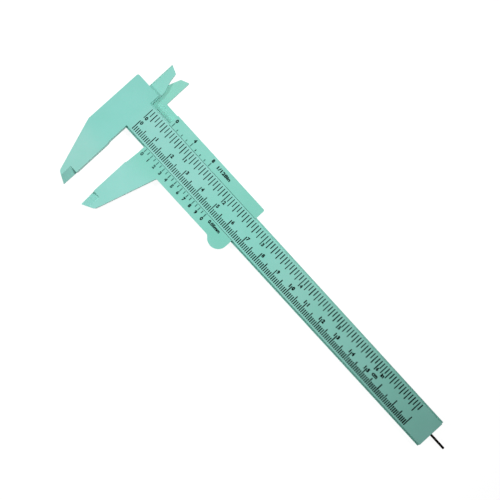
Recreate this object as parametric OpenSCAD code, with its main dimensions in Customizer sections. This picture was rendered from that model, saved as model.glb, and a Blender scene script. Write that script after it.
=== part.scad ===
// Plastic vernier caliper. One moulding is the beam with its head, fixed outside jaw and
// fixed inside jaw. The other is the slider with the moving jaws, which is threaded on
// from the free end and held by two lips. A steel depth rod is pressed into the slider,
// and four printed scales lie on the front.
// X runs along the beam from the fixed measuring face, Y across it towards the inside
// jaws, and Z from the face that it rests on up to the scales. Sizes are in millimetres.

/* [Opening] */
// Distance between the outside measuring faces
opening = 11.2; // [0:0.1:150]
// Running gap between the beam and the slider, on every side
slide_gap = 0.15; // [0.1:0.05:0.35]

/* [Beam] */
// Length from the fixed measuring face to the free end
beam_l = 194.2; // [170:0.2:240]
// Width over both ledges
beam_w = 15.8; // [15:0.2:20]
// Thickness of the bar
beam_t = 4; // [3.6:0.1:6]
// Width of the ledge along each long edge of the front face
ledge_w = 0.9; // [0.6:0.1:1.2]
// Depth of that ledge below the front face
ledge_d = 1.4; // [1:0.1:1.6]

/* [Head] */
// Distance from the measuring face to the head's outer edge, at the top
head_w = 13.7; // [13.4:0.1:20]
// How far that edge leans out on its way down to the jaw's shoulder
head_lean = 0.3; // [0:0.1:1]
// Radius of the head's top corner
head_corner_r = 1; // [0.5:0.1:2]
// Height of the head above the beam's edge
upper_h = 4.45; // [4:0.05:7]

/* [Outside jaws] */
// Reach of the jaws below the beam's edge
jaw_l = 37.5; // [32:0.5:45]
// Drop from the beam's edge to the shoulder where the fixed jaw starts to taper
shoulder_drop = 9.4; // [6:0.1:12]
// Radius of that shoulder
shoulder_r = 3; // [1:0.5:5]
// Depth of the relief above the fixed jaw's measuring face
relief_d = 0.35; // [0.25:0.05:0.8]
// Length of that relief below the beam's edge
relief_l = 10.2; // [8:0.2:14]
// Length of the slope from its foot out to the measuring face
relief_step_l = 1.4; // [0.6:0.2:2]
// Length over which the moving jaw's relief slopes out towards its measuring face
moving_relief_run = 7; // [2:0.5:7]
// Radius at the top of that slope
moving_relief_r = 3; // [1:0.5:8]
// Depth of the step from the foot of that slope to the measuring face
moving_relief_step = 0.3; // [0.1:0.05:0.4]
// Length of the knife-edged tip
knife_l = 7.9; // [6:0.1:10]
// Width of the knife bevel
knife_w = 3.8; // [3:0.1:4.5]
// Depth of the bevel at the measuring edge, on the front and again on the back
knife_d = 2.6; // [1.5:0.1:2.8]
// Width of the fixed jaw at its toe
fixed_toe_w = 5.6; // [5:0.1:7]
// Width of the moving jaw at its toe
moving_toe_w = 6.1; // [5:0.1:7]
// Height of the toe above the tip
toe_h = 3.1; // [2:0.1:4]
// Radius of the toe
toe_r = 2; // [1:0.1:3]
// How far the fixed jaw's tip stands back from its measuring face
fixed_tip_back = 0.1; // [0:0.1:0.6]
// The same for the moving jaw
moving_tip_back = 0.4; // [0:0.1:0.6]
// How much further the moving jaw reaches down than the fixed jaw
moving_tip_drop = 0.35; // [0:0.05:0.5]

/* [Inside jaws] */
// Height of the blades above the head
blade_h = 14; // [10:0.25:18]
// Distance from the outside measuring face to the inside measuring edge
blade_back = 6.7; // [6.5:0.1:7]
// Width of the fixed blade at its tip
fixed_tip_w = 4.2; // [2.5:0.1:4.4]
// Width of the moving blade at its tip
moving_tip_w = 3.8; // [2.5:0.1:4.4]
// How far the tip slopes down from its peak
blade_tip_drop = 1.7; // [1:0.1:2.5]
// Width of the fixed blade at its waist
fixed_waist_w = 5; // [4.5:0.1:6]
// Width of the moving blade at its waist
moving_waist_w = 5.3; // [4.5:0.1:6]
// Distance from the peak down to the waist
blade_waist_drop = 5.9; // [5:0.1:7]
// Width of a blade at its root
blade_root_w = 7; // [6.3:0.05:7.1]
// Height of the root above the head's top edge
blade_root_h = 2.7; // [1:0.1:3.5]
// Radius of a blade's peak
blade_peak_r = 0.2; // [0.1:0.05:0.4]
// Radius of the corner where its tip slopes into its flank
blade_tip_r = 0.8; // [0.4:0.1:1.2]
// Radius of the bends in its flank
blade_bend_r = 3; // [1:0.5:4]
// Radius in the corner between the moving blade's measuring edge and its root
blade_root_r = 0.5; // [0.2:0.1:1]
// Thickness of the moving blade, which runs behind the head
moving_blade_t = 2.75; // [2.2:0.05:3]
// Width of the bevel along each blade's measuring edge
blade_bevel_w = 0.5; // [0.2:0.1:1]
// Depth of that bevel
blade_bevel_d = 0.9; // [0.3:0.1:1]

/* [Slider] */
// Length from the moving measuring face to the slider's other end
slider_l = 57.8; // [52:0.2:75]
// Thickness of the plate behind the beam
plate_t = 1.7; // [1.2:0.1:2]
// Height of the lower rail below the beam's edge
lower_h = 5.5; // [4.6:0.1:8]
// How far the rails start behind the moving measuring face
rail_back = 0.75; // [0.6:0.05:1]
// Width of the moving jaw where it leaves the lower rail
jaw_root_w = 14.8; // [12:0.2:20]
// Radius in the corner between that jaw and the lower rail
jaw_root_r = 0.8; // [0.3:0.1:2]
// How far the upper rail stands above the head
rail_rise = 0.45; // [0:0.05:0.8]
// Radius of the upper rail's far corner
rail_corner_r = 0.8; // [0.3:0.1:2]
// Radius of the round thumb tab
tab_r = 4.95; // [4:0.05:6]
// How far the tab hangs below the lower rail
tab_drop = 2.4; // [1:0.1:3]
// Radius of the fillet between the lower rail and the tab
tab_fillet_r = 2; // [1:0.1:3]

/* [Depth rod] */
// Diameter of the rod
rod_d = 1.15; // [1:0.05:1.3]
// How far the rod stands out of the beam's end with the jaws shut; less than zero is short of it
rod_reach_shut = -1.7; // [-4:0.1:0]
// Width of the bevel round the rod's tip
rod_bevel = 0.2; // [0.1:0.05:0.4]
// Length of the rod that is gripped by the slider
rod_grip_l = 12; // [6:0.5:20]
// Wall of the rib around the rod
rib_wall = 0.4; // [0.3:0.05:0.5]

/* [Scales] */
// Distance from each measuring face to the zero mark of its scale
zero_x = 2.35; // [1.5:0.05:4]
// Blank length between the last marks and the beam's end
blank_l = 11.8; // [6:0.1:20]
// Width of a printed mark
mark_w = 0.3; // [0.15:0.05:0.4]
// Thickness of the ink
ink_t = 0.05; // [0.02:0.01:0.1]
// Distance from the beam's centre to the outer end of the millimetre marks
mm_mark_foot = 6.2; // [5.5:0.1:6.2]
// Lengths of the millimetre marks for 1, 5 and 10 mm
mm_mark_lengths = [2.6, 3.9, 5.25];
// Distance from the beam's centre to the outer end of the inch marks
inch_mark_foot = 6.3; // [5.5:0.1:6.3]
// Lengths of the inch marks for a sixteenth, an eighth and an inch
inch_mark_lengths = [3.2, 4.5, 5.45];
// Number of divisions of the millimetre vernier
mm_vernier_divisions = 20; // [10:10:20]
// Lengths of the plain and numbered marks of the millimetre vernier
mm_vernier_lengths = [1.5, 1.8];
// Number of divisions of the inch vernier
inch_vernier_divisions = 8; // [4:4:8]
// Lengths of the plain and numbered marks of the inch vernier
inch_vernier_lengths = [1.1, 2];

/* [Hidden] */

arc_steps = 8;          // straight pieces in a rounded corner of an outline
round_fn = 64;
over = 1;               // how far a cutter runs past the face that it cuts
inch = 25.4;
inch_parts = 16;        // divisions in an inch of the main scale
inch_division = inch / inch_parts;
mm_division = 1;
mm_per_number = 10;     // millimetres from one numbered mark to the next
mm_per_half = 5;
vernier_span = 2;       // main divisions that one vernier division falls just short of
whole = 0.001;          // keeps a last mark that lies right at the blank length
mark_gap = 0.35;        // from a vernier mark to the edge of its rail

half_w = beam_w / 2;
plateau = half_w - ledge_w;                 // half the width of the front between the ledges
channel = half_w + slide_gap;               // half the width of the slider's channel
lip = plateau + slide_gap;                  // inner edge of the slider's lips
beam_z = plate_t + slide_gap;               // back of the bar
front_z = beam_z + beam_t;                  // front of the beam, the head and the rails
ledge_z = front_z - ledge_d;                // ledges, and the front of the fixed blade
blade_split_z = moving_blade_t + slide_gap; // back of the fixed blade

top_y = half_w + upper_h;
rail_top_y = top_y + rail_rise;
root_top_y = top_y + rail_rise / 2;          // top of the moving blade's root
rail_foot_y = -half_w - lower_h;
tip_y = -half_w - jaw_l;
knife_y = tip_y + knife_l;
relief_y = -half_w - relief_l;
peak_y = top_y + blade_h;

rib_w = rod_d + 2 * rib_wall;
rib_l = rod_grip_l + rib_wall;
rib_start = slider_l - rib_l;
rod_z = plate_t + rib_w / 2;
rod_l = beam_l + rod_reach_shut - slider_l + rod_grip_l;
groove_w = rib_w + 2 * slide_gap;
groove_top = plate_t + rib_w + slide_gap;
groove_start = rib_start - slide_gap;

tab_x = slider_l - tab_r;
tab_y = rail_foot_y - tab_drop + tab_r;

scale_l = beam_l - zero_x - blank_l;
mm_marks = floor(scale_l / mm_division + whole);
inch_marks = floor(scale_l / inch_division + whole);
mm_vernier_pitch = mm_division * (vernier_span - 1 / mm_vernier_divisions);
inch_vernier_pitch = inch_division * (vernier_span - 1 / inch_vernier_divisions);

mint = [0.57, 0.85, 0.79];
steel = [0.25, 0.24, 0.22];
ink = [0.1, 0.16, 0.15];

function unit(v) = v / norm(v);

// The arc of radius r that rounds the corner at b between a and c, or the corner itself
function corner(a, b, c, r) =
    r == 0 ? [b] :
    let (to_a = unit(a - b), to_c = unit(c - b), half = acos(to_a * to_c) / 2,
         centre = b + unit(to_a + to_c) * r / sin(half),
         from = b + to_a * r / tan(half) - centre, to = b + to_c * r / tan(half) - centre,
         turn = atan2(cross(from, to), from * to), first = atan2(from.y, from.x))
    [for (i = [0 : arc_steps])
        centre + r * [cos(first + turn * i / arc_steps), sin(first + turn * i / arc_steps)]];

// An outline from points [x, y, corner radius]
function rounded(p) =
    let (n = len(p), xy = [for (q = p) [q[0], q[1]]])
    [for (i = [0 : n - 1])
        each corner(xy[(i + n - 1) % n], xy[i], xy[(i + 1) % n], p[i][2])];

// A profile of points [y, z], drawn out along X from x0 to x1
module along_x(profile, x0, x1) {
    translate([x0, 0, 0]) rotate([90, 0, 90]) linear_extrude(x1 - x0) polygon(profile);
}

// A profile of points [x, z], drawn out along Y from y0 to y1
module along_y(profile, y0, y1) {
    translate([0, y1, 0]) rotate([90, 0, 0]) linear_extrude(y1 - y0) polygon(profile);
}

// The stepped section of the bar, or with a gap, of the channel that it runs in
function bar_section(gap, top_z) = [
    [-half_w - gap, beam_z - gap], [half_w + gap, beam_z - gap],
    [half_w + gap, ledge_z + gap], [plateau + gap, ledge_z + gap], [plateau + gap, top_z],
    [-plateau - gap, top_z], [-plateau - gap, ledge_z + gap], [-half_w - gap, ledge_z + gap]];

// Cuts the two bevels of a knife edge into a jaw that lies on the side (-1 or 1) of x = 0
module knife_bevels(side) {
    slope = knife_d / knife_w;
    for (back = [0, 1])
        translate([0, 0, back * front_z]) mirror([0, 0, back])
            along_y([[side * knife_w, 0], [-side * over, (knife_w + over) * slope],
                     [-side * over, -over], [side * knife_w, -over]],
                    tip_y - over, knife_y);
}

// The flank of an inside blade, from its peak to its foot, on one side (-1 or 1) of the
// measuring edge
function blade_flank(side, tip_w, waist_w, foot_y) = [
    for (p = [[0, peak_y, blade_peak_r],
              [tip_w, peak_y - blade_tip_drop, blade_tip_r],
              [waist_w, peak_y - blade_waist_drop, blade_bend_r],
              [blade_root_w, top_y + blade_root_h, blade_bend_r],
              [blade_root_w, foot_y, 0]])
        [-blade_back + side * p[0], p[1], p[2]]];

// Cuts the bevel along a blade's measuring edge, on its front (1) or its back (-1) at z
module blade_bevel(side, face, z) {
    slope = blade_bevel_d / blade_bevel_w;
    translate([-blade_back, 0, z])
        along_y([[side * blade_bevel_w, 0], [side * blade_bevel_w, face * over],
                 [-side * over, face * over],
                 [-side * over, -face * (blade_bevel_w + over) * slope]],
                top_y, peak_y + over);
}

module head_outline() {
    polygon(rounded([
        [-relief_d, top_y, 0],
        [-head_w, top_y, head_corner_r],
        [-head_w - head_lean, -half_w - shoulder_drop, shoulder_r],
        [-fixed_toe_w, tip_y + toe_h, toe_r],
        [-fixed_tip_back, tip_y, 0],
        [0, knife_y, 0],
        [0, relief_y - relief_step_l / 2, 0],
        [-relief_d, relief_y + relief_step_l / 2, 0]]));
}

module fixed_blade() {
    difference() {
        translate([0, 0, blade_split_z]) linear_extrude(ledge_z - blade_split_z)
            polygon(rounded(concat(blade_flank(1, fixed_tip_w, fixed_waist_w, plateau),
                                   [[-blade_back, plateau, 0]])));
        blade_bevel(1, 1, ledge_z);
    }
}

module beam_with_fixed_jaws() {
    color(mint) {
        difference() {
            union() {
                linear_extrude(front_z) head_outline();
                along_x(bar_section(0, front_z), -head_w / 2, beam_l);
            }
            // the moving blade and the tongue on its root run behind the upper part of the head
            along_x([[plateau, -over], [plateau, beam_z], [half_w, beam_z],
                     [half_w, blade_split_z], [top_y + over, blade_split_z],
                     [top_y + over, -over]], -head_w - head_lean - over, over);
            knife_bevels(-1);
            translate([groove_start, -groove_w / 2, beam_z - over])
                cube([beam_l - groove_start + over, groove_w, groove_top - beam_z + over]);
        }
        fixed_blade();
    }
}

module slider_outline() {
    polygon(rounded([
        [rail_back, rail_top_y, 0],
        [rail_back, relief_y + moving_relief_run, moving_relief_r],
        [moving_relief_step, relief_y, 0],
        [0, relief_y - moving_relief_step, 0],
        [0, knife_y, 0],
        [moving_tip_back, tip_y - moving_tip_drop, 0],
        [moving_toe_w, tip_y - moving_tip_drop + toe_h, toe_r],
        [jaw_root_w, rail_foot_y, jaw_root_r],
        [tab_x, rail_foot_y, 0],
        [slider_l, tab_y, 0],
        [slider_l, rail_top_y, rail_corner_r]]));
}

// The round tab with the fillet that leads into it from the lower rail
module thumb_tab() {
    fillet_y = rail_foot_y - tab_fillet_r;
    fillet_x = tab_x - sqrt(pow(tab_r + tab_fillet_r, 2) - pow(tab_y - fillet_y, 2));
    translate([tab_x, tab_y, 0]) cylinder(h = front_z, r = tab_r, $fn = round_fn);
    difference() {
        linear_extrude(front_z)
            polygon([[fillet_x, fillet_y], [tab_x, tab_y], [fillet_x, rail_foot_y + over]]);
        translate([fillet_x, fillet_y, -over])
            cylinder(h = front_z + 2 * over, r = tab_fillet_r, $fn = round_fn);
    }
}

// The moving blade with its root, and a tongue on the root that runs behind the bar's edge
module moving_blade() {
    difference() {
        linear_extrude(moving_blade_t)
            polygon(rounded(concat(
                [[rail_back + over, channel, 0], [rail_back + over, root_top_y, 0],
                 [-blade_back, root_top_y, blade_root_r]],
                blade_flank(-1, moving_tip_w, moving_waist_w, channel))));
        blade_bevel(-1, -1, 0);
    }
    translate([-blade_back - blade_root_w, lip, 0])
        cube([blade_back + blade_root_w + rail_back + over, top_y - over - lip, plate_t]);
}

module slider_with_moving_jaws() {
    color(mint) translate([opening, 0, 0]) {
        moving_blade();
        difference() {
            union() {
                linear_extrude(front_z) slider_outline();
                thumb_tab();
            }
            along_x(bar_section(slide_gap, front_z + over), -over, slider_l + over);
            knife_bevels(1);
        }
        // the rib that grips the rod and runs in the beam's groove
        difference() {
            translate([rib_start, -rib_w / 2, plate_t / 2])
                cube([rib_l, rib_w, plate_t / 2 + rib_w]);
            translate([slider_l - rod_grip_l, 0, rod_z]) rotate([0, 90, 0])
                cylinder(h = rod_grip_l + over, d = rod_d, $fn = round_fn);
        }
    }
}

module depth_rod() {
    r = rod_d / 2;
    color(steel) translate([opening + slider_l - rod_grip_l, 0, rod_z]) rotate([0, 90, 0])
        rotate_extrude($fn = round_fn)
            polygon([[0, 0], [r, 0], [r, rod_l - rod_bevel], [r - rod_bevel, rod_l], [0, rod_l]]);
}

// A mark at x on the front face, from the foot at y for the given length, up or down
module mark(x, y, length, up) {
    translate([x - mark_w / 2, up > 0 ? y : y - length, front_z])
        cube([mark_w, length, ink_t]);
}

module mm_scale_marks() {
    color(ink) for (i = [0 : mm_marks])
        mark(zero_x + i * mm_division, -mm_mark_foot,
             mm_mark_lengths[i % mm_per_number == 0 ? 2 : i % mm_per_half == 0 ? 1 : 0], 1);
}

module inch_scale_marks() {
    color(ink) for (i = [0 : inch_marks])
        mark(zero_x + i * inch_division, inch_mark_foot,
             inch_mark_lengths[i % inch_parts == 0 ? 2 : i % 2 == 0 ? 1 : 0], -1);
}

module mm_vernier_marks() {
    color(ink) for (i = [0 : mm_vernier_divisions])
        mark(opening + zero_x + i * mm_vernier_pitch, -lip - mark_gap,
             mm_vernier_lengths[i % 2 == 0 ? 1 : 0], -1);
}

module inch_vernier_marks() {
    color(ink) for (i = [0 : inch_vernier_divisions])
        mark(opening + zero_x + i * inch_vernier_pitch, lip + mark_gap,
             inch_vernier_lengths[i % 4 == 0 ? 1 : 0], 1);
}

beam_with_fixed_jaws();
slider_with_moving_jaws();
depth_rod();
mm_scale_marks();
inch_scale_marks();
mm_vernier_marks();
inch_vernier_marks();
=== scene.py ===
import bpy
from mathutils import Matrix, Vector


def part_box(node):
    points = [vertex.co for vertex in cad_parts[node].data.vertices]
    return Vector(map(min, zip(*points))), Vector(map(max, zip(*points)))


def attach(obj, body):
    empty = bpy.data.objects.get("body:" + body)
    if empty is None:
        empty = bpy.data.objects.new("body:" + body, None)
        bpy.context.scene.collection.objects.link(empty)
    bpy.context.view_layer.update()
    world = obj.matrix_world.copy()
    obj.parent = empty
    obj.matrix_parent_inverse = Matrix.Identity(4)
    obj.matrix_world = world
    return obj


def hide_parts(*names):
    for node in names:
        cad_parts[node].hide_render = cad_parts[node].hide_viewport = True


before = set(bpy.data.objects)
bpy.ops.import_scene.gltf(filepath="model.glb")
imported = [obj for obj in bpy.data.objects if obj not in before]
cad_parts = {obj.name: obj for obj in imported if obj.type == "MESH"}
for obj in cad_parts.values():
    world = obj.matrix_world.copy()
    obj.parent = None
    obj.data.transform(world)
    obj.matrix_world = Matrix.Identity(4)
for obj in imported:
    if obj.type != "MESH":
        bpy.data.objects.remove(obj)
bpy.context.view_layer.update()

import math
import random

import bmesh
import bpy
from mathutils import Matrix, Vector

# The beam is one injection moulding in mint green plastic: the bar, the head, the fixed
# outside jaw and the fixed inside blade. The mould leaves its edges slightly round and its
# faces finely matt, and the slider has rubbed faint streaks along the bar.
MM = 0.001
MOULD_EDGE = 0.06 * MM
WELD = 0.01 * MM
FLAT = math.radians(0.5)
SHARP_EDGE = math.radians(20)
BEAM_MINT = (0.29, 0.665, 0.595)
BEAM_CLOUD = (0.265, 0.645, 0.565)
# Painted sheen and light: each band makes the beam's colour paler in one region and deeper in
# another, over the head, the jaws, the blades and along the bar, where the lamps' sheen falls.
BEAM_PAINTED_SHEEN = (("X", 5, -2, (0.86, 1.0, 0.985)), ("Y", -15, -28, (1.22, 1.01, 1.02)),
              ("Y", 12, 15, (1.11, 1.04, 1.03)), ("X", 38, 56, (0.85, 0.99, 0.95)),
              ("X", 78, 105, (1.12, 1.0, 1.0)))
CLOUD_SIZE = 14 * MM
STREAK_WIDTH = 0.5 * MM
STREAK_STRETCH = 40          # how many times longer than wide a rubbed streak is
SINK_SIZE = 6 * MM
SINK_DEPTH = 0.03 * MM
GRAIN_SIZE = 0.2 * MM
GRAIN_DEPTH = 0.005 * MM
SCATTER_SHARE = 0.06         # light that goes into the plastic and comes out beside
SCATTER_COLOURS = (0.4, 1.0, 0.8)
SCATTER_DEPTH = 0.5 * MM
MIX_FIRST = 6                # a mix node has sockets of the same names for numbers, so its
MIX_SECOND = 7               # colour sockets go by their places
MIX_RESULT = 2


def put(tree, kind, sockets=(), **settings):
    """Adds a node. A socket's name or number is paired with a value or another node's output."""
    node = tree.nodes.new(kind)
    for setting, value in settings.items():
        setattr(node, setting, value)
    for key, value in dict(sockets).items():
        if isinstance(value, bpy.types.NodeSocket):
            tree.links.new(value, node.inputs[key])
        else:
            node.inputs[key].default_value = value
    return node


def new_finish(name):
    """A material with a plain shader: its node tree, its shader and the piece's own place."""
    material = bpy.data.materials.new(name)
    material.use_nodes = True
    tree = material.node_tree
    tree.nodes.clear()
    shader = put(tree, "ShaderNodeBsdfPrincipled")
    put(tree, "ShaderNodeOutputMaterial", {"Surface": shader.outputs[0]})
    return material, tree, shader, put(tree, "ShaderNodeTexCoord").outputs["Object"]


def patches(tree, place, size, detail=2.0, along=1.0):
    """Noise in patches of about that size, drawn out along the beam by the last value."""
    scaled = put(tree, "ShaderNodeMapping", {"Vector": place})
    scaled.inputs["Scale"].default_value = (1 / (size * along), 1 / size, 1 / size)
    noise = put(tree, "ShaderNodeTexNoise",
                {"Vector": scaled.outputs[0], "Scale": 1.0, "Detail": detail})
    return noise.outputs["Fac"]


def spread(tree, value, low, high, to_low=0.0, to_high=1.0):
    """Stretches the part of a value between low and high over the range that is wanted."""
    node = put(tree, "ShaderNodeMapRange",
               {"Value": value, "From Min": low, "From Max": high,
                "To Min": to_low, "To Max": to_high})
    return node.outputs["Result"]


def blended(tree, share, first, second, way="MIX"):
    """Mixes two colours by a share. Each is a plain colour or another node's output."""
    first, second = ((*colour, 1) if isinstance(colour, tuple) else colour
                     for colour in (first, second))
    node = put(tree, "ShaderNodeMix", {"Factor": share, MIX_FIRST: first, MIX_SECOND: second},
               data_type="RGBA", blend_type=way)
    return node.outputs[MIX_RESULT]


def drift(tree, place, axis, start, end):
    """Rises smoothly from 0 to 1 between two distances along an axis, in millimetres."""
    split = put(tree, "ShaderNodeSeparateXYZ", {"Vector": place})
    rise = put(tree, "ShaderNodeMapRange",
               {"Value": split.outputs[axis], "From Min": start * MM, "From Max": end * MM},
               interpolation_type="SMOOTHSTEP")
    return rise.outputs["Result"]


def moulded_plastic(name, colour, cloud, painted_sheen):
    """Satin plastic with faint clouds of colour, sink, mould grain and rubbed streaks. Each band
    of painted sheen is an axis, the two distances it comes in over, and the share of the colour
    left."""
    material, tree, shader, place = new_finish(name)
    clouds = spread(tree, patches(tree, place, CLOUD_SIZE, detail=3.0), low=0.35, high=0.65)
    rubbed = patches(tree, place, STREAK_WIDTH, along=STREAK_STRETCH)
    sink = put(tree, "ShaderNodeBump",
               {"Height": patches(tree, place, SINK_SIZE, detail=1.0), "Distance": SINK_DEPTH})
    grain = put(tree, "ShaderNodeBump",
                {"Height": patches(tree, place, GRAIN_SIZE, detail=1.0),
                 "Distance": GRAIN_DEPTH, "Normal": sink.outputs[0]})
    clouded_and_sheened = blended(tree, clouds, colour, cloud)
    # Painted sheen and light: the clouded colour is made paler or deeper band by band.
    for axis, start, end, share in painted_sheen:
        clouded_and_sheened = blended(tree, drift(tree, place, axis, start, end), clouded_and_sheened, share,
                         way="MULTIPLY")
    tree.links.new(clouded_and_sheened, shader.inputs["Base Color"])
    tree.links.new(spread(tree, rubbed, low=0.35, high=0.7, to_low=0.46, to_high=0.49),
                   shader.inputs["Roughness"])
    tree.links.new(grain.outputs[0], shader.inputs["Normal"])
    shader.inputs["Subsurface Weight"].default_value = SCATTER_SHARE
    shader.inputs["Subsurface Radius"].default_value = SCATTER_COLOURS
    shader.inputs["Subsurface Scale"].default_value = SCATTER_DEPTH
    return material


def placed(name, data):
    """Puts a new object into the scene, at the origin."""
    piece = bpy.data.objects.new(name, data)
    bpy.context.scene.collection.objects.link(piece)
    return piece


def moulding(node, name, material):
    """A solid's mesh with its flat faces made whole again and its edges rounded."""
    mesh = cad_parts[node].data.copy()
    mesh.name = name
    shell = bmesh.new()
    shell.from_mesh(mesh)
    bmesh.ops.remove_doubles(shell, verts=shell.verts, dist=WELD)
    bmesh.ops.dissolve_degenerate(shell, edges=shell.edges, dist=WELD)
    bmesh.ops.dissolve_limit(shell, angle_limit=FLAT, verts=shell.verts, edges=shell.edges)
    sharp = [edge for edge in shell.edges if edge.calc_face_angle() > SHARP_EDGE]
    bmesh.ops.bevel(shell, geom=sharp, offset=MOULD_EDGE, offset_type="OFFSET", segments=2,
                    profile=0.5, affect="EDGES", clamp_overlap=False)
    shell.to_mesh(mesh)
    shell.free()
    mesh.shade_smooth()
    mesh.materials.clear()
    mesh.materials.append(material)
    piece = placed(name, mesh)
    fair = piece.modifiers.new("flat_faces_stay_flat", "WEIGHTED_NORMAL")
    fair.mode = "FACE_AREA"
    fair.weight = 100
    return piece


beam = moulding("beam_with_fixed_jaws", "beam_moulding",
                moulded_plastic("mint_beam", BEAM_MINT, BEAM_CLOUD, BEAM_PAINTED_SHEEN))
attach(beam, "beam")
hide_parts("beam_with_fixed_jaws")

# The slider is the second moulding, threaded on the bar from its far end. It is the same
# plastic from another shot, a shade greener, with the moving jaws, the two lips of its
# channel and the thumb tab in one piece.
SLIDER_MINT = (0.25, 0.66, 0.56)
SLIDER_CLOUD = (0.225, 0.64, 0.535)
# Painted sheen and light: the slider's colour is made paler over the moving jaw and blade and
# deeper towards its right end, where the lamps' sheen falls less.
SLIDER_PAINTED_SHEEN = (("X", 42, 62, (0.85, 0.96, 0.93)), ("Y", 12, 16, (1.1, 1.04, 1.02)),
                ("Y", -10, -22, (1.22, 1.05, 1.11)))

slider = moulding("slider_with_moving_jaws", "slider_moulding",
                  moulded_plastic("mint_slider", SLIDER_MINT, SLIDER_CLOUD, SLIDER_PAINTED_SHEEN))
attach(slider, "slider")
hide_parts("slider_with_moving_jaws")

# The depth rod is a drawn steel wire with a bevelled tip, pressed into the slider's rib and
# lying in the bar's groove. It is dark with oil, worn brighter in patches, and drawing has
# left fine lines along it.
ROD_STEEL = (0.009, 0.006, 0.005)
ROD_WORN = (0.03, 0.024, 0.021)
ROD_SHEEN = (0.1, 0.08, 0.07, 1)
WORN_SIZE = 4 * MM
LINE_WIDTH = 0.1 * MM
LINE_STRETCH = 60
LINE_DEPTH = 0.004 * MM


def drawn_steel():
    """Dark oiled steel with fine lines along the wire and worn patches."""
    material, tree, shader, place = new_finish("drawn_steel")
    lines = patches(tree, place, LINE_WIDTH, along=LINE_STRETCH)
    worn = spread(tree, patches(tree, place, WORN_SIZE, detail=3.0), low=0.4, high=0.7)
    ridges = put(tree, "ShaderNodeBump", {"Height": lines, "Distance": LINE_DEPTH})
    tree.links.new(blended(tree, worn, ROD_STEEL, ROD_WORN), shader.inputs["Base Color"])
    tree.links.new(spread(tree, lines, low=0.3, high=0.7, to_low=0.3, to_high=0.5),
                   shader.inputs["Roughness"])
    tree.links.new(ridges.outputs[0], shader.inputs["Normal"])
    shader.inputs["Metallic"].default_value = 1.0
    shader.inputs["Specular Tint"].default_value = ROD_SHEEN
    return material


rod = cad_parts["depth_rod"]
rod.data.materials.clear()
rod.data.materials.append(drawn_steel())

# The four scales are pad printed in near black ink. The pad leaves each mark as a thin bar
# with round corners, starved where it was dry and full where it was wet, so no two marks
# are quite alike. Each row stands where the solid has its marks.
INK = (0.002, 0.007, 0.007)
INK_STARVED = (0.07, 0.22, 0.19)
INK_THICKNESS = 0.05 * MM
INK_DEPTH = "ink_depth"      # the attribute that says how full the ink is
SPECK_SIZE = 0.4 * MM
SPECK_DEPTH = 0.25
INK_GRAIN = 0.3 * MM
SOLID_MARK = 0.3 * MM        # width of a mark in the solids
MARK_WIDTH = 0.38 * MM       # width with the ink run out at its edges
MARK_CORNER = 0.1 * MM
CORNER_POINTS = 3
SAME_POINT = 0.001 * MM
DEPTH_SEED = 50              # keeps the depth of a mark's ink apart from its width
RANDOM_LOW = 2               # a random value node's sockets for numbers, by their places
RANDOM_HIGH = 3
RANDOM_RESULT = 1
INCH = 25.4 * MM
INCH_DIVISION = INCH / 16
MM_VERNIER_DIVISION = 1.95 * MM
INCH_VERNIER_DIVISION = INCH_DIVISION * (2 - 1 / 8)
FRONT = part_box("mm_scale_marks")[0].z


def scale_ink():
    """Ink that is as full as each mark's or figure's own depth, with starved specks."""
    material, tree, shader, place = new_finish("scale_ink")
    depth = put(tree, "ShaderNodeAttribute", attribute_name=INK_DEPTH)
    specks = spread(tree, patches(tree, place, SPECK_SIZE), low=0.35, high=0.65,
                    to_low=-SPECK_DEPTH, to_high=SPECK_DEPTH)
    uneven = put(tree, "ShaderNodeMath", {0: depth.outputs["Fac"], 1: specks},
                 operation="ADD", use_clamp=True)
    tree.links.new(blended(tree, uneven.outputs[0], INK_STARVED, INK),
                   shader.inputs["Base Color"])
    tree.links.new(spread(tree, patches(tree, place, INK_GRAIN), low=0.3, high=0.7,
                          to_low=0.75, to_high=0.95), shader.inputs["Roughness"])
    shader.inputs["Specular IOR Level"].default_value = 0.1
    return material


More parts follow.
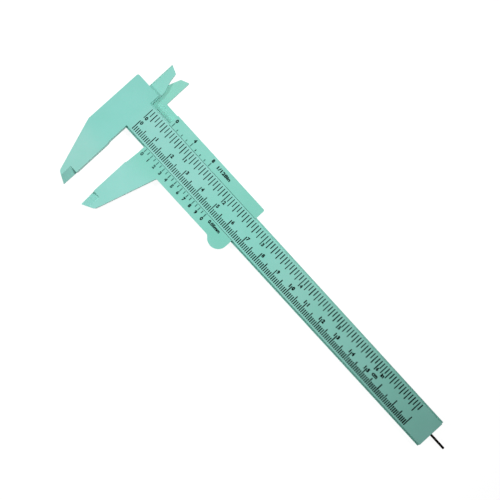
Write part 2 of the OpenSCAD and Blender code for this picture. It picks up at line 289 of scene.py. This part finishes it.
def printed_scale():
    """Geometry nodes that print one row of marks, in three lengths, from its first foot on."""
    tree = bpy.data.node_groups.new("printed_scale", "GeometryNodeTree")
    for label, kind in {
            "Count": "Int", "Pitch": "Float", "First Foot": "Vector", "Direction": "Float",
            "Middle Every": "Int", "Long Every": "Int", "Short Length": "Float",
            "Middle Length": "Float", "Long Length": "Float", "Mark Width": "Float",
            "Corner Radius": "Float", "Thickness": "Float", "First Depth": "Float",
            "Last Depth": "Float", "Uneven Depth": "Float", "Uneven Width": "Float",
            "Swell": "Float", "Seed": "Int", "Ink": "Material"}.items():
        tree.interface.new_socket(label, in_out="INPUT", socket_type="NodeSocket" + kind)
    tree.interface.new_socket("Geometry", in_out="OUTPUT", socket_type="NodeSocketGeometry")
    given = put(tree, "NodeGroupInput").outputs

    def maths(operation, first, second):
        return put(tree, "ShaderNodeMath", {0: first, 1: second},
                   operation=operation).outputs[0]

    def by_chance(low, high, seed):
        return put(tree, "FunctionNodeRandomValue",
                   {RANDOM_LOW: low, RANDOM_HIGH: high, "Seed": seed},
                   data_type="FLOAT").outputs[RANDOM_RESULT]

    step = put(tree, "ShaderNodeCombineXYZ", {"X": given["Pitch"]})
    feet = put(tree, "GeometryNodeMeshLine",
               {"Count": given["Count"], "Start Location": given["First Foot"],
                "Offset": step.outputs[0]})
    index = put(tree, "GeometryNodeInputIndex").outputs[0]
    on_long = maths("LESS_THAN", maths("MODULO", index, given["Long Every"]), 0.5)
    on_middle = maths("LESS_THAN", maths("MODULO", index, given["Middle Every"]), 0.5)
    only_middle = maths("MULTIPLY", on_middle, maths("SUBTRACT", 1.0, on_long))
    only_short = maths("SUBTRACT", 1.0, maths("MAXIMUM", on_long, on_middle))

    width = by_chance(maths("SUBTRACT", 1.0, given["Uneven Width"]),
                      maths("ADD", 1.0, given["Uneven Width"]), given["Seed"])
    along = maths("DIVIDE", index, given["Count"])
    swollen = maths("ADD", 1.0, maths("MULTIPLY", along, given["Swell"]))
    uneven = put(tree, "ShaderNodeCombineXYZ",
                 {"X": maths("MULTIPLY", width, swollen), "Y": 1.0, "Z": 1.0})
    more = by_chance(maths("MULTIPLY", given["Uneven Depth"], -1.0), given["Uneven Depth"],
                     maths("ADD", given["Seed"], DEPTH_SEED))
    risen = maths("MULTIPLY", along,
                  maths("SUBTRACT", given["Last Depth"], given["First Depth"]))
    depth = maths("ADD", maths("ADD", given["First Depth"], risen), more)

    row = put(tree, "GeometryNodeJoinGeometry")
    for length, chosen in ((given["Long Length"], on_long),
                           (given["Middle Length"], only_middle),
                           (given["Short Length"], only_short)):
        bar = put(tree, "GeometryNodeCurvePrimitiveQuadrilateral",
                  {"Width": given["Mark Width"], "Height": length})
        outline = put(tree, "GeometryNodeFilletCurve",
                      {"Curve": bar.outputs[0], "Count": CORNER_POINTS,
                       "Radius": given["Corner Radius"]}, mode="POLY")
        face = put(tree, "GeometryNodeFillCurve", {"Curve": outline.outputs[0]},
                   mode="NGONS")
        rise = put(tree, "ShaderNodeCombineXYZ", {"Z": given["Thickness"]})
        raised = put(tree, "GeometryNodeExtrudeMesh",
                     {"Mesh": face.outputs[0], "Offset": rise.outputs[0],
                      "Offset Scale": 1.0, "Individual": False})
        under = put(tree, "GeometryNodeFlipFaces", {"Mesh": face.outputs[0]})
        block = put(tree, "GeometryNodeJoinGeometry", {"Geometry": raised.outputs[0]})
        tree.links.new(under.outputs[0], block.inputs["Geometry"])
        closed = put(tree, "GeometryNodeMergeByDistance",
                     {"Geometry": block.outputs[0], "Distance": SAME_POINT})
        from_foot = put(tree, "ShaderNodeCombineXYZ",
                        {"Y": maths("MULTIPLY", maths("MULTIPLY", length, 0.5),
                                    given["Direction"])})
        mark = put(tree, "GeometryNodeTransform",
                   {"Geometry": closed.outputs[0], "Translation": from_foot.outputs[0]})
        marks = put(tree, "GeometryNodeInstanceOnPoints",
                    {"Points": feet.outputs[0], "Selection": chosen,
                     "Instance": mark.outputs[0], "Scale": uneven.outputs[0]})
        inked = put(tree, "GeometryNodeStoreNamedAttribute",
                    {"Geometry": marks.outputs[0], "Name": INK_DEPTH, "Value": depth},
                    data_type="FLOAT", domain="INSTANCE")
        tree.links.new(inked.outputs[0], row.inputs["Geometry"])
    real = put(tree, "GeometryNodeRealizeInstances", {"Geometry": row.outputs[0]})
    finished = put(tree, "GeometryNodeSetMaterial",
                   {"Geometry": real.outputs[0], "Material": given["Ink"]})
    put(tree, "NodeGroupOutput", {"Geometry": finished.outputs[0]})
    return tree


INK_FINISH = scale_ink()
SCALE_TREE = printed_scale()


def print_marks(node, name, body, sizes):
    """Prints one scale in place of the solid's marks, and returns where its zero stands."""
    low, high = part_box(node)
    upwards = sizes["Direction"] > 0
    zero = Vector((low.x + SOLID_MARK / 2, low.y if upwards else high.y, FRONT))
    sizes.update({
        "Count": round((high.x - low.x - SOLID_MARK) / sizes["Pitch"]) + 1,
        "First Foot": zero, "Mark Width": MARK_WIDTH, "Corner Radius": MARK_CORNER,
        "Thickness": INK_THICKNESS, "Ink": INK_FINISH})
    maker = placed(name + "_maker", bpy.data.meshes.new(name + "_maker"))
    printing = maker.modifiers.new("printed_scale", "NODES")
    printing.node_group = SCALE_TREE
    for item in SCALE_TREE.interface.items_tree:
        if item.in_out == "INPUT":
            printing[item.identifier] = sizes[item.name]
    ready = maker.evaluated_get(bpy.context.evaluated_depsgraph_get())
    piece = placed(name, bpy.data.meshes.new_from_object(ready))
    bpy.data.objects.remove(maker)
    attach(piece, body)
    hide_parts(node)
    return zero


mm_zero = print_marks("mm_scale_marks", "mm_scale", "beam", {
    "Pitch": 1 * MM, "Direction": 1.0, "Middle Every": 5, "Long Every": 10,
    "Short Length": 2.6 * MM, "Middle Length": 3.9 * MM, "Long Length": 5.25 * MM,
    "First Depth": 1.0, "Last Depth": 1.3, "Uneven Depth": 0.2, "Uneven Width": 0.12,
    "Swell": 0.6, "Seed": 3})
inch_zero = print_marks("inch_scale_marks", "inch_scale", "beam", {
    "Pitch": INCH_DIVISION, "Direction": -1.0, "Middle Every": 2, "Long Every": 16,
    "Short Length": 3.2 * MM, "Middle Length": 4.5 * MM, "Long Length": 5.45 * MM,
    "First Depth": 1.0, "Last Depth": 1.3, "Uneven Depth": 0.15, "Uneven Width": 0.12,
    "Swell": 0.45, "Seed": 8})
mm_vernier_zero = print_marks("mm_vernier_marks", "mm_vernier", "slider", {
    "Pitch": MM_VERNIER_DIVISION, "Direction": -1.0, "Middle Every": 2, "Long Every": 2,
    "Short Length": 1.5 * MM, "Middle Length": 1.8 * MM, "Long Length": 1.8 * MM,
    "First Depth": 0.1, "Last Depth": 0.8, "Uneven Depth": 0.2, "Uneven Width": 0.1,
    "Swell": 0.2, "Seed": 5})
inch_vernier_zero = print_marks("inch_vernier_marks", "inch_vernier", "slider", {
    "Pitch": INCH_VERNIER_DIVISION, "Direction": 1.0, "Middle Every": 4, "Long Every": 4,
    "Short Length": 1.1 * MM, "Middle Length": 2 * MM, "Long Length": 2 * MM,
    "First Depth": 0.6, "Last Depth": 0.6, "Uneven Depth": 0.4, "Uneven Width": 0.1,
    "Swell": 0.0, "Seed": 2})

# The figures beside the scales are printed with them, in a small plain face that fills in
# where the ink ran. The main scales are numbered in centimetres and inches, and the two
# verniers by their own divisions.
FIGURE_HEIGHT = 1.55 * MM
FIGURE_SHARE = 0.69          # height of a figure in the face's own units
THIN_RUN = 0.045             # how far the ink ran beyond the face's outline
PLAIN_RUN = 0.055
WIDE_RUN = 0.08
UNEVEN_FIGURES = 0.15        # how far the depth of a figure's ink strays
RIGHT_OF_MARK = 1.15 * MM
DIGITS_ASIDE = (-0.95 * MM, 1.1 * MM)  # two digits stand on the two sides of their mark
CM_LINE = -1.35 * MM
INCH_LINE = 1.55 * MM
INCH_RISE = 0.10 * MM        # the row of inch figures climbs a little from one to the next
MM_VERNIER_LINE = -10.45 * MM
INCH_VERNIER_LINE = 10.8 * MM
CENTIMETRE = 10 * MM
LAST_CM = 15
LAST_INCH = 6
LAST_TENTH = 10
INCH_VERNIER_STEPS = (0, 4, 8)


def lettering(text, zero, away, line, height=FIGURE_HEIGHT, run=PLAIN_RUN, width=None):
    """What to print for one figure or word, away from the zero mark of its scale. Its ink
    has run out by the given share, and a word is drawn out to its own width."""
    return {"text": text, "x": zero.x + away, "y": line, "height": height, "run": run,
            "width": width}


def figure_mesh(text, x, y, height, run, width):
    """A printed figure or word, flat on the face and centred at x and y."""
    letters = bpy.data.curves.new("figure", "FONT")
    letters.body = text
    letters.size = 1
    letters.offset = run
    letters.resolution_u = 3
    holder = placed("figure", letters)
    ready = holder.evaluated_get(bpy.context.evaluated_depsgraph_get())
    mesh = bpy.data.meshes.new_from_object(ready)
    bpy.data.objects.remove(holder)
    across = [vertex.co.x for vertex in mesh.vertices]
    middle = (min(across) + max(across)) / 2
    size = height / FIGURE_SHARE
    wide = width / (max(across) - min(across)) if width else size
    mesh.transform(Matrix.Translation((x, y, FRONT)) @ Matrix.Diagonal((wide, size, size, 1))
                   @ Matrix.Translation((-middle, -FIGURE_SHARE / 2, 0)))
    return mesh


def print_figures(name, body, figures, first_depth, last_depth, seed):
    """Joins figures into one printed piece, its ink growing fuller along the row."""
    chance = random.Random(seed)
    places = [figure["x"] for figure in figures]
    left, right = min(places), max(places)
    sheet = bmesh.new()
    layer = sheet.verts.layers.float.new(INK_DEPTH)
    for figure in figures:
        along = (figure["x"] - left) / (right - left)
        before = len(sheet.verts)
        mesh = figure_mesh(**figure)
        sheet.from_mesh(mesh)
        bpy.data.meshes.remove(mesh)
        sheet.verts.ensure_lookup_table()
        depth = (first_depth + along * (last_depth - first_depth)
                 + chance.uniform(-UNEVEN_FIGURES, UNEVEN_FIGURES))
        for vertex in sheet.verts[before:]:
            vertex[layer] = depth
    bmesh.ops.remove_doubles(sheet, verts=sheet.verts, dist=SAME_POINT)
    walls = bmesh.ops.extrude_face_region(sheet, geom=sheet.faces[:])["geom"]
    top = [part for part in walls if isinstance(part, bmesh.types.BMVert)]
    bmesh.ops.translate(sheet, verts=top, vec=(0, 0, INK_THICKNESS))
    bmesh.ops.recalc_face_normals(sheet, faces=sheet.faces)
    mesh = bpy.data.meshes.new(name)
    sheet.to_mesh(mesh)
    sheet.free()
    mesh.materials.append(INK_FINISH)
    piece = placed(name, mesh)
    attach(piece, body)


cm_figures = [lettering(str(cm), mm_zero, CENTIMETRE * cm + RIGHT_OF_MARK, CM_LINE)
              for cm in range(10)]
for cm in range(10, LAST_CM + 1):
    for digit, aside in zip(str(cm), DIGITS_ASIDE):
        cm_figures.append(lettering(digit, mm_zero, CENTIMETRE * cm + aside, CM_LINE,
                                    run=WIDE_RUN))
cm_figures.append(lettering("cm", mm_zero, away=154.8 * MM, line=-0.55 * MM,
                            height=1.8 * MM))
print_figures("cm_figures", "beam", cm_figures, first_depth=0.95, last_depth=1.3, seed=1)

inch_figures = [lettering(str(inch), inch_zero, INCH * inch + RIGHT_OF_MARK,
                          INCH_LINE + INCH_RISE * inch) for inch in range(LAST_INCH + 1)]
inch_figures.append(lettering("in", inch_zero, away=157.3 * MM, line=1.85 * MM,
                              height=1.7 * MM))
print_figures("inch_figures", "beam", inch_figures, first_depth=0.95, last_depth=1.3, seed=2)

mm_vernier_figures = [lettering(str(step % 10), mm_vernier_zero,
                                2 * MM_VERNIER_DIVISION * step, MM_VERNIER_LINE)
                      for step in range(LAST_TENTH + 1)]
mm_vernier_figures.append(lettering("0.05mm", mm_vernier_zero, away=45.5 * MM,
                                    line=-8.7 * MM, height=1.4 * MM, width=7.2 * MM))
print_figures("mm_vernier_figures", "slider", mm_vernier_figures, first_depth=0.3,
              last_depth=1.3, seed=3)

inch_vernier_figures = [lettering(str(step), inch_vernier_zero,
                                  INCH_VERNIER_DIVISION * step, INCH_VERNIER_LINE)
                        for step in INCH_VERNIER_STEPS]
inch_vernier_figures.append(lettering("1/128in", inch_vernier_zero, away=31.2 * MM,
                                      line=10.3 * MM, height=1.45 * MM, run=THIN_RUN,
                                      width=8.3 * MM))
print_figures("inch_vernier_figures", "slider", inch_vernier_figures, first_depth=1.0,
              last_depth=1.2, seed=4)

# The caliper lies flat on a plain pale table and is seen from almost straight above, a
# little beyond its jaws, with the beam running down to the right.
TABLE_WIDTH = 3.0
TABLE_GREY = 0.8
TABLE_GLOW = 0.93
TABLE_SHADE = 0.2
CAMERA_PLACE = Vector((57.83, -6.33, 500)) * MM
CAMERA_AIM = Vector((77.573, -3.974, 5.85)) * MM
BEAM_TURN = math.radians(47.539)  # how far the beam is turned clockwise in the picture
LENS = 79.71                      # in millimetres
NEAREST_SEEN = 10 * MM

table_mesh = bpy.data.meshes.new("table")
reach = TABLE_WIDTH / 2
table_mesh.from_pydata([(-reach, -reach, 0), (reach, -reach, 0), (reach, reach, 0),
                        (-reach, reach, 0)], [], [(0, 1, 2, 3)])
table_material = bpy.data.materials.new("pale_table")
table_material.use_nodes = True
table_tree = table_material.node_tree
table_tree.nodes.clear()
# The camera and reflections see the table almost white, with weak shade. The light that it
# throws back on the caliper is that of a matt grey table.
seen = put(table_tree, "ShaderNodeLightPath")
mirrored = put(table_tree, "ShaderNodeMath",
               {0: seen.outputs["Is Camera Ray"], 1: seen.outputs["Is Glossy Ray"]},
               operation="MAXIMUM")
looked_at = put(table_tree, "ShaderNodeMath",
                {0: mirrored.outputs[0], 1: seen.outputs["Is Transmission Ray"]},
                operation="MAXIMUM")
glow = put(table_tree, "ShaderNodeEmission", {"Strength": TABLE_GLOW})
shade = put(table_tree, "ShaderNodeBsdfDiffuse", {"Color": (TABLE_SHADE,) * 3 + (1,)})
matt = put(table_tree, "ShaderNodeBsdfDiffuse", {"Color": (TABLE_GREY,) * 3 + (1,)})
white = put(table_tree, "ShaderNodeAddShader", {0: glow.outputs[0], 1: shade.outputs[0]})
surface = put(table_tree, "ShaderNodeMixShader",
              {0: looked_at.outputs[0], 1: matt.outputs[0], 2: white.outputs[0]})
put(table_tree, "ShaderNodeOutputMaterial", {"Surface": surface.outputs[0]})
table_mesh.materials.append(table_material)
table = placed("table", table_mesh)

camera = placed("camera", bpy.data.cameras.new("camera"))
bpy.context.scene.camera = camera
camera.data.lens = LENS
camera.data.clip_start = NEAREST_SEEN
back = (CAMERA_PLACE - CAMERA_AIM).normalized()
right = Vector((-math.sin(BEAM_TURN), math.cos(BEAM_TURN), 0)).cross(back).normalized()
turned = Matrix((right, back.cross(right), back)).transposed().to_4x4()
camera.matrix_world = Matrix.Translation(CAMERA_PLACE) @ turned

# Two small lamps stand a good way off: the stronger beyond the back edge, the other at 45
# degrees off the corner of the jaws, so shade falls beside the head and the fixed blade.
# Both fade from the middle of their beams outwards, and the pale room fills what is left.
LAMP_AIM = Vector((0.033, -0.025, 0.0))
BACK_PLACE = Vector((0.033, 0.538, 1.060))
BACK_POWER = 40.5
SIDE_PLACE = Vector((-0.567, -0.625, 0.849))
SIDE_POWER = 22.6
LAMP_CONE = math.radians(20.0)
LAMP_RADIUS = 0.1
ROOM_FILL = 0.15

for name, place, power in (("back_lamp", BACK_PLACE, BACK_POWER),
                           ("side_lamp", SIDE_PLACE, SIDE_POWER)):
    lamp = placed(name, bpy.data.lights.new(name, "SPOT"))
    lamp.data.energy = power
    lamp.data.spot_size = LAMP_CONE
    lamp.data.spot_blend = 1.0
    lamp.data.shadow_soft_size = LAMP_RADIUS
    lamp.location = place
    lamp.rotation_mode = "QUATERNION"
    lamp.rotation_quaternion = (LAMP_AIM - place).to_track_quat("-Z", "Y")
    lamp.visible_camera = False

room = bpy.data.worlds.new("pale_room")
bpy.context.scene.world = room
room.use_nodes = True
room_tree = room.node_tree
room_tree.nodes.clear()
room_seen = put(room_tree, "ShaderNodeLightPath")
brightness = put(room_tree, "ShaderNodeMapRange",
                 {"Value": room_seen.outputs["Is Camera Ray"], "To Min": ROOM_FILL,
                  "To Max": 1.0})
air = put(room_tree, "ShaderNodeBackground", {"Strength": brightness.outputs["Result"]})
air.inputs["Color"].default_value = (1, 1, 1, 1)
put(room_tree, "ShaderNodeOutputWorld", {"Surface": air.outputs[0]})

bpy.context.scene.view_settings.view_transform = "Standard"
